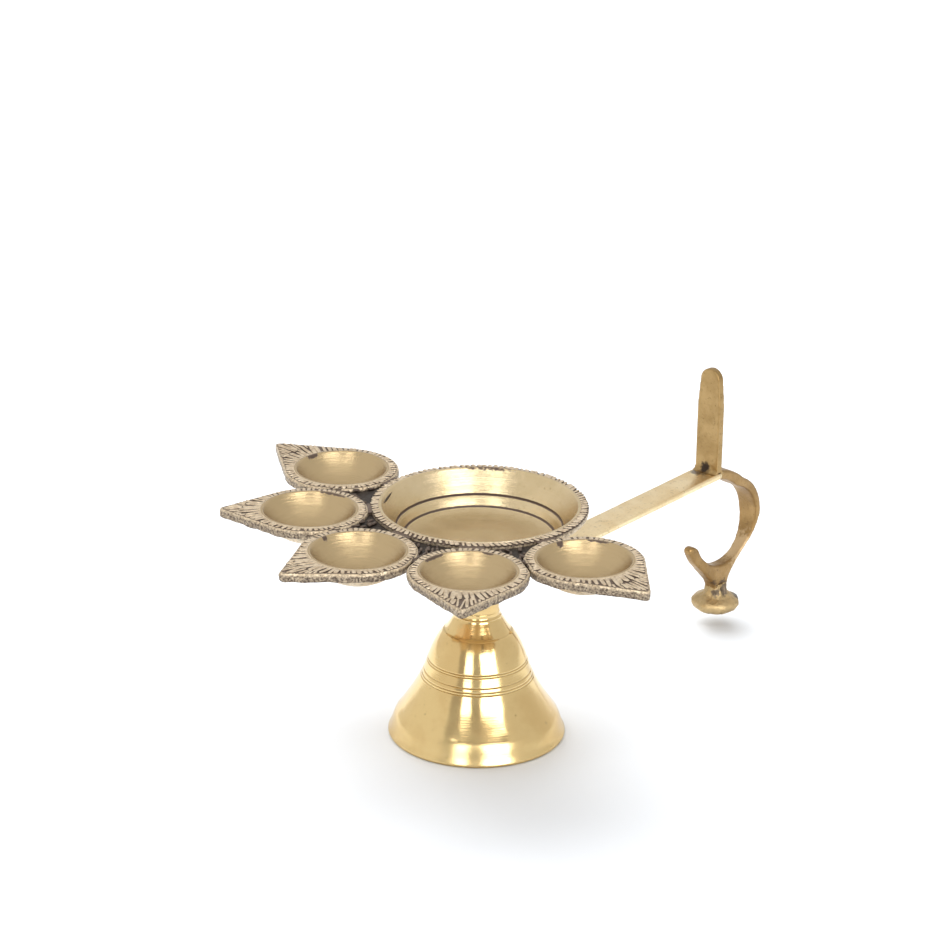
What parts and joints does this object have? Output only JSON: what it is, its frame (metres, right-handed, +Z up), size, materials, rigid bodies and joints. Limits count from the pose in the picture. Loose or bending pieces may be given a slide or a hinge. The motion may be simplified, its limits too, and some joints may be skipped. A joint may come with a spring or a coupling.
{
  "type": "five-wick hand oil lamp",
  "caption": "Brass hand lamp for worship: a cast tray with a centre bowl and petal-shaped oil cups on a screwed-on hollow bell stand, held by a strip handle with thumb leaf and finger hook.",
  "frame": {"origin": "on the table, at the centre of the bell stand's bottom ring, under the stand's own axis", "axes": "+Z up along the stand's axis; +X from the axis along the handle; +Y completes a right-handed frame, and the petals fan out about -X"},
  "size_m": [0.2506, 0.1908, 0.1089],
  "materials": {
    "cast_brass": "sand-cast brass, turned satin in the bowl and cups, chisel-notched rims with dark patina",
    "stud_brass": "cut thread, dull",
    "washer_brass": "thin sheet washer, dark with oil",
    "polished_brass": "lathe-turned and polished",
    "handle_brass": "matte, tumbled casting"
  },
  "bodies": {
    "stand": {"bell_stand": "polished_brass"},
    "washer": {"packing_washer": "washer_brass"},
    "head": {"tray_casting": "cast_brass", "threaded_stud": "stud_brass", "handle_arm": "handle_brass", "thumb_leaf": "handle_brass", "finger_hook": "handle_brass", "foot_button": "handle_brass"}
  },
  "joints": [
    {"name": "head_lift", "type": "slide", "parent": "stand", "child": "washer", "axis": [0, 0, 1], "range_m": [0, 0.00875]},
    {"name": "head_turn", "type": "hinge", "parent": "washer", "child": "head", "pos_m": [0, 0, 0.0575], "axis": [0, 0, 1], "range_deg": [0, 2520]}
  ],
  "couplings": [
    {"joint": "head_lift", "follows": "head_turn", "m_per_rad": 0.00019894}
  ]
}
